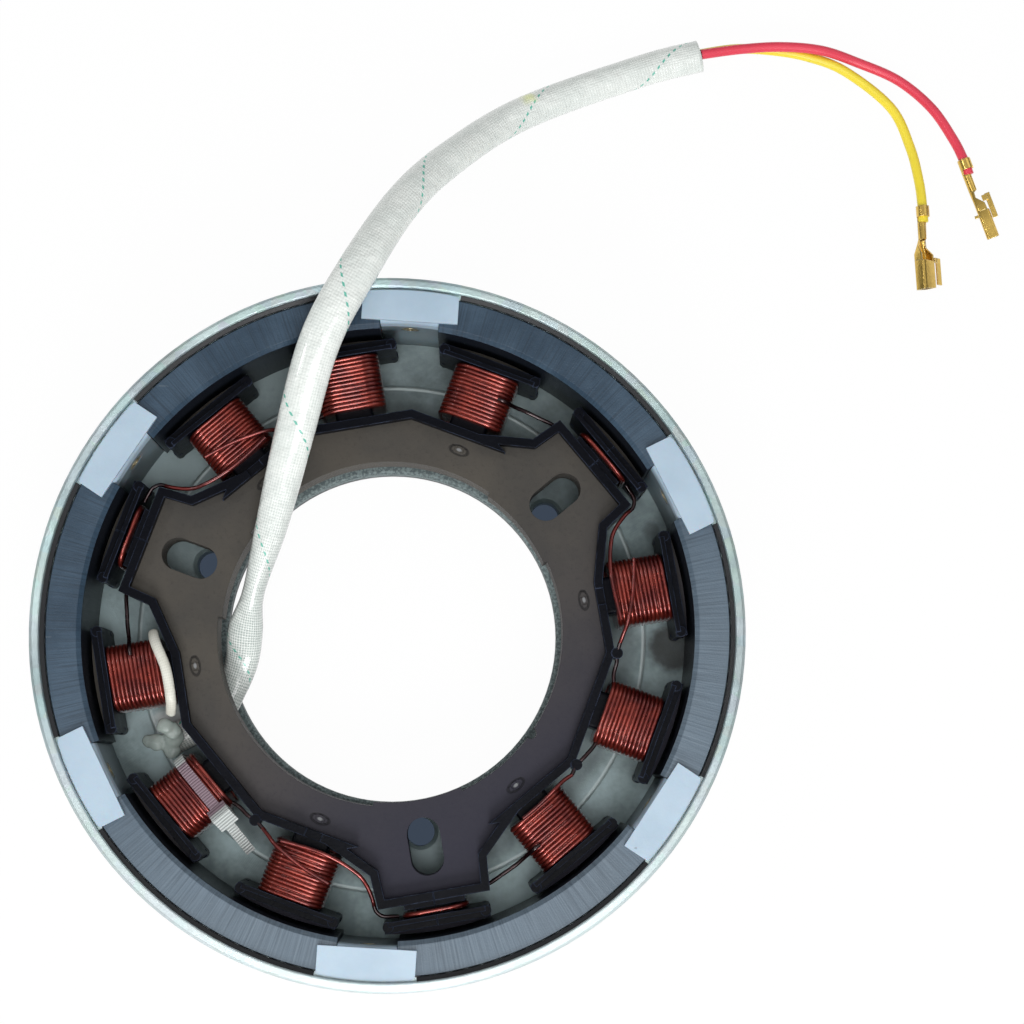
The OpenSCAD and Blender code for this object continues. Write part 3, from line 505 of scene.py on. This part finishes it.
# Receptacle terminals: each is one bent sheet, from the ring around the insulation to the body
receptacle = {
    "sheet": 0.35 * mm, "around": 36, "base": -1.6, "mouth": 20, "slant": 0.35, "crease": 35,
    # place, width, height, squareness, how far round the sheet reaches in degrees, and its share of
    # the body's shift
    "bends": [
        (0.2, 3.2, 3.2, 2, 172, 0), (2.8, 3.2, 3.2, 2, 172, 0), (2.9, 2.6, 3.2, 2, 48, 0),
        (3.9, 2.3, 2.7, 2, 48, 0), (4.1, 2.2, 2.1, 2, 172, 0), (8.2, 2, 2, 2, 172, 0.2),
        (8.5, 2.2, 2, 2, 100, 0.3), (10.2, 3.4, 2.2, 3, 88, 0.6), (12.2, 4.8, 3, 6, 112, 1),
        (13.8, 4.8, 3, 6, 116, 1), (13.9, 4.8, 3, 6, 180, 1), (17, 4.8, 3, 6, 180, 1),
        (20.7, 4.8, 3, 6, 180, 1)],
    # the body's shift across and up, the roll in degrees, and tabs beside the body: centre and size
    "red": {"shift": (0, 0.2), "roll": -72,
            "tabs": [((13.2, -1.1, 2.35), (6.3, 0.4, 1.3)), ((11, -1.6, 1.6), (1.4, 0.4, 1.4)),
                     ((14.9, -2, -1.7), (0.7, 0.4, 1.2))]},
    "yellow": {"shift": (-0.7, 0), "roll": -42,
               "tabs": [((16.3, 2.9, 1.2), (6.6, 1.6, 0.4)), ((13.6, 2, 1.2), (1.2, 1, 0.4))]}}


def signedPower(value, power):  # keeps the sign, for sections between round and square
    return math.copysign(abs(value) ** power, value)


def makeTerminal(colour, start, ahead):
    look = receptacle[colour]
    across, up = look["shift"]
    bends = receptacle["bends"]
    bm = bmesh.new()
    bmesh.ops.create_grid(bm, x_segments=len(bends) - 1, y_segments=receptacle["around"], size=0.5)
    for v in bm.verts:
        place, width, height, square, reach, share = bends[round((v.co.x + 0.5) * (len(bends) - 1))]
        angle = math.radians(reach) * 2 * v.co.y
        y = width / 2 * signedPower(math.sin(angle), 2 / square)
        z = receptacle["base"] + height / 2 * (1 - signedPower(math.cos(angle), 2 / square))
        slant = receptacle["slant"] * y / (width / 2) if place > receptacle["mouth"] else 0
        v.co = (place - slant, y + across * share, z + up * share)
    bmesh.ops.scale(bm, vec=(mm, mm, mm), verts=bm.verts)
    bmesh.ops.recalc_face_normals(bm, faces=bm.faces)
    bmesh.ops.solidify(bm, geom=bm.faces[:], thickness=receptacle["sheet"])
    for centre, size in look["tabs"]:
        tab = bmesh.ops.create_cube(bm, size=mm)["verts"]
        bmesh.ops.scale(bm, vec=size, verts=tab)
        bmesh.ops.translate(bm, vec=[c * mm for c in centre], verts=tab)
    heading = Matrix.Rotation(math.atan2(ahead.y, ahead.x), 4, "Z")
    roll = Matrix.Rotation(math.radians(look["roll"]), 4, "X")
    bmesh.ops.transform(bm, matrix=Matrix.Translation(start) @ heading @ roll, verts=bm.verts)
    mesh = meshFrom(bm, colour + "Terminal")
    mesh.set_sharp_from_angle(angle=math.radians(receptacle["crease"]))
    made = linked(colour + "Terminal", mesh, terminalBrass)
    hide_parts(colour + "_terminal")
    return made


leads = {
    "diameter": 2.4 * mm, "steps": 8, "sides": 5, "intoTerminal": 4.1 * mm,
    "red": [(74.3, 142.1, 4.2), (84, 143.6, 3.9), (94, 144.3, 3.8), (104, 143.6, 3.3), (113, 141.2, 1.5),
            (123, 136.8, 1.3), (131, 129.8, 1.6), (136, 121.5, 2.7), (138, 116.5, 3.8)],
    "yellow": [(74.2, 143, 1.7), (83, 144.5, 1.3), (92, 144.2, 1.3), (101, 142.6, 1.3), (110, 139, 1.3),
               (121, 130, 1.3), (125.5, 120, 1.6), (127.4, 111, 2.4), (127.9, 105, 3.1)]}
for colour, material in (("red", redSheath), ("yellow", yellowSheath)):
    points = scaled(leads[colour])
    route = smoothRoute(points, leads["steps"])
    ahead = Vector(route[-1]) - Vector(smoothRoute(points, 3)[-2])  # over the last third of a stretch
    ahead.z = 0
    terminal = makeTerminal(colour, Vector(route[-1]), ahead)
    route.append(list(Vector(route[-1]) + ahead.normalized() * leads["intoTerminal"]))
    lead = linked(colour + "Lead", curveOf(colour + "Lead", [route], leads["diameter"], leads["sides"]),
                  material)
    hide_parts(colour + "_lead")

# Windings, in millimetres: turns of wire around a plain body
winding = {"halfWide": 7.65, "halfHigh": 8.9, "corner": 4.1, "wire": 0.95, "pitch": 0.95,
           "start": 51.675, "turns": 13, "lobeStart": 62.825, "lobeTurns": 1, "cornerSteps": 6,
           "sides": 3, "proud": 0.02, "crossFrom": 0.12, "cross": 0.76, "steep": 1.6, "shake": 0.035,
           "swell": 0.004, "swellEvery": 3.1, "bodyDepth": 0.55, "bodyShort": 0.1}


def turned(angle):
    return Matrix.Rotation(math.radians(angle), 4, "Z")


def loopPoints(halfWide, halfHigh, corner, steps):  # once around, from the middle of the underside
    points = [(0, -halfHigh)]
    for k, (sideY, sideZ, first) in enumerate(((1, -1, -90), (1, 1, 0), (-1, 1, 90), (-1, -1, 180))):
        for i in range(steps + 1):
            at = math.radians(first + 90 * i / steps)
            points.append((sideY * (halfWide - corner) + corner * math.cos(at),
                           sideZ * (halfHigh - corner) + corner * math.sin(at)))
        if k == 1:  # the middle of the top
            points.append((0, halfHigh))
    return points


def windingRoute(number, first, turns):  # each turn crosses over to the next on its way round
    w = winding
    inset = w["wire"] / 2 - w["proud"]
    loop = loopPoints(w["halfWide"] - inset, w["halfHigh"] - inset, w["corner"] - inset, w["cornerSteps"])
    rand = random.Random(number)
    route = []
    for turn in range(turns):
        slack = rand.uniform(-w["shake"], w["shake"])
        for i, (y, z) in enumerate(loop):
            bow = math.sin(math.pi * i / len(loop))
            share = min(max((i / len(loop) - 0.5) * w["steep"] + 0.5, 0), 1)
            x = first + w["pitch"] * (turn + w["crossFrom"] + w["cross"] * share) + slack * bow
            swell = 1 + w["swell"] * math.sin(w["swellEvery"] * turn + number) * bow
            route.append((x * mm, y * swell * mm, (stator["mid"] + z) * mm))
    return route


def makeWinding(number):
    w = winding
    onLobe = (number - 1 - stator["lobeTooth"]) % stator["teethPerLobe"] == 0
    first, turns = (w["lobeStart"], w["lobeTurns"]) if onLobe else (w["start"], w["turns"])
    length = turns * w["pitch"]
    wire = curveOf("turns", [windingRoute(number, first, turns)], w["wire"] * mm, w["sides"])
    curve = bpy.data.objects.new("turns", wire)
    bpy.context.scene.collection.objects.link(curve)
    evaluated = curve.evaluated_get(bpy.context.evaluated_depsgraph_get())
    bm = bmesh.new()
    bm.from_mesh(bpy.data.meshes.new_from_object(evaluated))
    bpy.data.objects.remove(curve)
    for face in bm.faces:
        face.smooth = True

    depth = 2 * (w["wire"] * w["bodyDepth"])
    size = (length - w["bodyShort"], 2 * w["halfWide"] - depth, 2 * w["halfHigh"] - depth)
    body = bmesh.ops.create_cube(bm, size=1)["verts"]
    bmesh.ops.scale(bm, vec=[c * mm for c in size], verts=body)
    bmesh.ops.translate(bm, vec=((first + length / 2) * mm, 0, stator["mid"] * mm), verts=body)
    lengthwise = [e for e in {e for v in body for e in v.link_edges}
                  if abs(e.verts[0].co.x - e.verts[1].co.x) > 0.5 * length * mm]
    bmesh.ops.bevel(bm, geom=lengthwise, offset=(w["corner"] - w["wire"] * 0.5) * mm, segments=4,
                    profile=0.5, affect="EDGES", material=-1)
    bmesh.ops.transform(bm, matrix=turned(stator["angle"] + (number - 1) * stator["pitch"]), verts=bm.verts)
    made = linked("winding%d" % number, meshFrom(bm, "winding%d" % number, False),
                  copperWire)
    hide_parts("coil_%d" % number)


for number in range(1, stator["teeth"] + 1):
    makeWinding(number)
print("windings ready")

# Wires between the windings, as in the model: reach beyond the heel, angle from the lobe and height
# above a winding, in millimetres
over = 0.625
jumpers = {
    "thickness": 0.95 * mm, "sides": 3, "steps": 5, "heel": 51.5, "above": 24.9,
    "everyLobe": {
        "toLobeCorner": [
            (1.2, -36.8, over), (0.6, -33, over), (0.3, -29, over), (0.5, -25, over),
            (1.3, -21.5, over - 0.8), (2.5, -18.5, -0.9), (3.8, -16.3, -1.7), (5.3, -14.9, -2.2),
            (7.1, -13.8, -2.5), (8.9, -13, -2.7), (10.1, -12.7, -3.4)],
        "roundPost": [
            (10.1, -12.7, -3.4), (11.4, -12.2, -3.6), (12.4, -10.9, -3.8), (12.5, -9.3, -4),
            (12.5, -7.6, -4.4)],
        "acrossCoil": [
            (6.5, -22.9, over), (4.6, -30, over), (2.7, -37, over), (1.6, -40.2, -0.3), (1, -42.3, -1.5)],
        "behindPost": [
            (1, -42.3, -1.5), (0.5, -44.8, -1.7), (0.6, -47.2, -1.7), (0.4, -49, -1.9),
            (0.4, -50.6, -2.3), (0.9, -53, -2.9)],
        "fromLobeCorner": [
            (9.6, 12.1, -5.6), (9.4, 13.3, -5.4), (8.9, 15.6, -5), (8.4, 18.8, -4.4), (7.8, 21.6, -2.9),
            (7.5, 22.9, -0.9), (7.3, 24.2, over), (7.2, 25.6, over)]},
    "lastLobe": {
        "alongFence": [
            (1, 42.3, -1.5), (0.3, 40, -0.5), (0.1, 37.5, over), (0.1, 34, over), (0.2, 30, over),
            (0.3, 26, over)],
        "afterPost": [
            (1, 42.3, -1.5), (0.5, 44.8, -1.7), (0.9, 47.2, -1.7), (1.2, 49, -1.9), (1.5, 50.6, -2.1),
            (1.7, 52.6, -2.9)]},
    # these lie deep, and are painted darker as shade
    "shadedParts": ("roundPost", "behindPost", "fromLobeCorner", "afterPost")}


def fromLobe(route, lobe):
    points = []
    for reach, angle, z in route:
        lobeAngle = stator["angle"] + stator["pitch"] * stator["lobeTooth"] + stator["lobeStep"] * lobe
        at = math.radians(lobeAngle + angle)
        far = (jumpers["heel"] + reach) * mm
        points.append((far * math.cos(at), far * math.sin(at), (jumpers["above"] + z) * mm))
    return smoothRoute(points, jumpers["steps"])


laid = [(part, fromLobe(route, lobe)) for lobe in range(stator["lobes"])
        for part, route in jumpers["everyLobe"].items()]
laid += [(part, fromLobe(route, stator["lobes"] - 1)) for part, route in jumpers["lastLobe"].items()]
jumperCurve = curveOf("jumperWires", [route for part, route in laid], jumpers["thickness"], jumpers["sides"],
                      (jumperCopper, copperShaded), [int(part in jumpers["shadedParts"]) for part, route in laid])
jumperObject = linked("jumperWires", jumperCurve)
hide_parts("jumper_wires")

# Sleeving over the splice, flattened; its points are given as those of the wires are
splice = {"width": 2.4 * mm, "height": 1.7 * mm, "sides": 14, "ripple": 0.04, "wall": 0.3 * mm, "lobe": 1,
          "points": [(1.4, 40.6, -3.4), (0.9, 39.9, -1.8), (0.3, 38.7, -0.3), (-0.2, 36.8, 0.9),
                     (-0.5, 34.3, 1.3), (-0.6, 31.7, 1.4), (-0.4, 29.1, 1.4), (0.2, 26.6, 1.3),
                     (1.1, 24, 0.7), (1.9, 21.8, -0.8), (2.3, 20.4, -3)]}
spliceRoute = [p + [splice["width"], splice["height"]] for p in fromLobe(splice["points"], splice["lobe"])]
spliceObject = hollowTube("spliceSleeving", spliceRoute, splice, spliceCloth)
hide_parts("splice_sleeving")

# A dab of sealant in the gap beside the splice, of blobs that run together
dab = {"angle": 45.8, "flat": 0.5, "lumps": 0.22, "lumpScale": 700, "voxel": 0.35 * mm,
       # x, y, height above the core's underside and radius, in millimetres
       "blobs": [(54.5, 0, 5.5, 2.4), (56.4, 2.4, 4.5, 2.2), (55.2, -2.8, 8, 1.9), (54.2, -1.2, 7, 2),
                 (58.6, -0.4, 4.5, 2.2), (60.4, -1.6, 4, 1.6)]}


def makeDab():
    bm = bmesh.new()
    for x, y, z, r in dab["blobs"]:
        blob = bmesh.ops.create_icosphere(bm, subdivisions=3, radius=r * mm)["verts"]
        bmesh.ops.scale(bm, vec=(1, 1, dab["flat"]), verts=blob)
        for v in blob:
            v.co *= 1 + dab["lumps"] * noise.noise(v.co * dab["lumpScale"] + Vector((x, y, z)))
        bmesh.ops.translate(bm, vec=(x * mm, y * mm, (stator["bottom"] + z) * mm), verts=blob)
    lobeAngle = stator["angle"] + stator["pitch"] + stator["lobeStep"]
    bmesh.ops.transform(bm, matrix=turned(lobeAngle + dab["angle"]), verts=bm.verts)
    made = linked("siliconeDab", meshFrom(bm, "siliconeDab"), silicone)
    merge = made.modifiers.new("merge", "REMESH")
    merge.mode = "VOXEL"
    merge.voxel_size = dab["voxel"]
    merge.use_smooth_shade = True
    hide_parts("silicone_dab")


makeDab()
print("wires ready")

# Floor: the camera finds it evenly white, and dark in the rotor's shadow below the cup
ground = {"size": 3, "below": 0.2 * mm, "white": (0.9, 0.9, 0.9, 1), "dark": (0.02, 0.02, 0.025, 1),
          "seenWhite": (1, 1, 1, 1), "seenDark": tone(60, 70, 84), "darkFrom": 38.4 * mm,
          "darkTo": 79 * mm, "even": 0.97}
groundMesh = bmesh.new()
bmesh.ops.create_grid(groundMesh, x_segments=1, y_segments=1, size=ground["size"])
floor = bpy.data.objects.new("floor", meshFrom(groundMesh, "floor", False))
floor.location.z = -ground["below"]
bpy.context.scene.collection.objects.link(floor)
white = Paint("whiteFloor", Roughness=0.9)
away = white.polar()[3]
covered = (white.ramp(away, ground["darkFrom"], ground["darkFrom"] + mm)
           * white.ramp(away, ground["darkTo"] + mm, ground["darkTo"]))
white.set(Base_Color=white.mix(covered, ground["white"], ground["dark"]))
glow = white.node("ShaderNodeEmission", {}, {
    "Color": white.mix(covered, ground["seenWhite"], ground["seenDark"]), "Strength": 1.0})
straight, glossy, through = [white.node("ShaderNodeLightPath", output="Is %s Ray" % ray)
                             for ray in ("Camera", "Glossy", "Transmission")]
seen = (straight + glossy + through).math("MINIMUM", ground["even"])
blend = white.node("ShaderNodeMixShader", {}, {0: seen, 1: Value(white, white.shader.outputs[0]), 2: glow})
white.tree.links.new(blend.socket, white.tree.nodes["Material Output"].inputs["Surface"])
floor.data.materials.append(white.material)

# Background: how bright each kind of ray finds it; reflections find it bright overhead and dim at
# the sides
sky = {"level": 0.5, "seen": 1.0,
       "overhead": {"From Min": 0.1, "From Max": 0.95, "To Min": 0.1, "To Max": 0.52}}
world = bpy.data.worlds.new("studio")
bpy.context.scene.world = world
world.use_nodes = True
air = world.node_tree
path = air.nodes.new("ShaderNodeLightPath")
heading = air.nodes.new("ShaderNodeTexCoord")
steep = air.nodes.new("ShaderNodeSeparateXYZ")
overhead = air.nodes.new("ShaderNodeMapRange")
air.links.new(heading.outputs["Generated"], steep.inputs[0])
air.links.new(steep.outputs["Z"], overhead.inputs["Value"])
for key, value in sky["overhead"].items():
    overhead.inputs[key].default_value = value
level = sky["level"]
for ray, strength in (("Is Glossy Ray", overhead.outputs[0]), ("Is Camera Ray", sky["seen"]),
                      ("Is Transmission Ray", sky["seen"])):
    mix = air.nodes.new("ShaderNodeMix")
    air.links.new(path.outputs[ray], mix.inputs[0])
    for source, inlet in ((level, mix.inputs[2]), (strength, mix.inputs[3])):
        if isinstance(source, float):
            inlet.default_value = source
        else:
            air.links.new(source, inlet)
    level = mix.outputs[0]
air.links.new(level, air.nodes["Background"].inputs["Strength"])
air.nodes["Background"].inputs["Color"].default_value = (1, 1, 1, 1)

# Lamps: place, size and power, all turned to the middle of the part
lamps = {"key": ((0.0, -0.6, 0.5), 0.3, 3.6), "left": ((-0.62, 0.12, 0.75), 0.14, 0.7),
         "right": ((0.6, 0.5, 0.7), 0.5, 0.6), "overhead": ((0.04, -0.24, 1.0), 0.4, 2.6)}
middle = Vector((0, 0, 20 * mm))
for name, (place, size, power) in lamps.items():
    lamp = bpy.data.lights.new(name, "AREA")
    lamp.size, lamp.energy = size, power
    made = bpy.data.objects.new(name, lamp)
    made.location = place
    made.rotation_euler = (Vector(place) - middle).to_track_quat("Z", "Y").to_euler()
    bpy.context.scene.collection.objects.link(made)
print("stage ready")
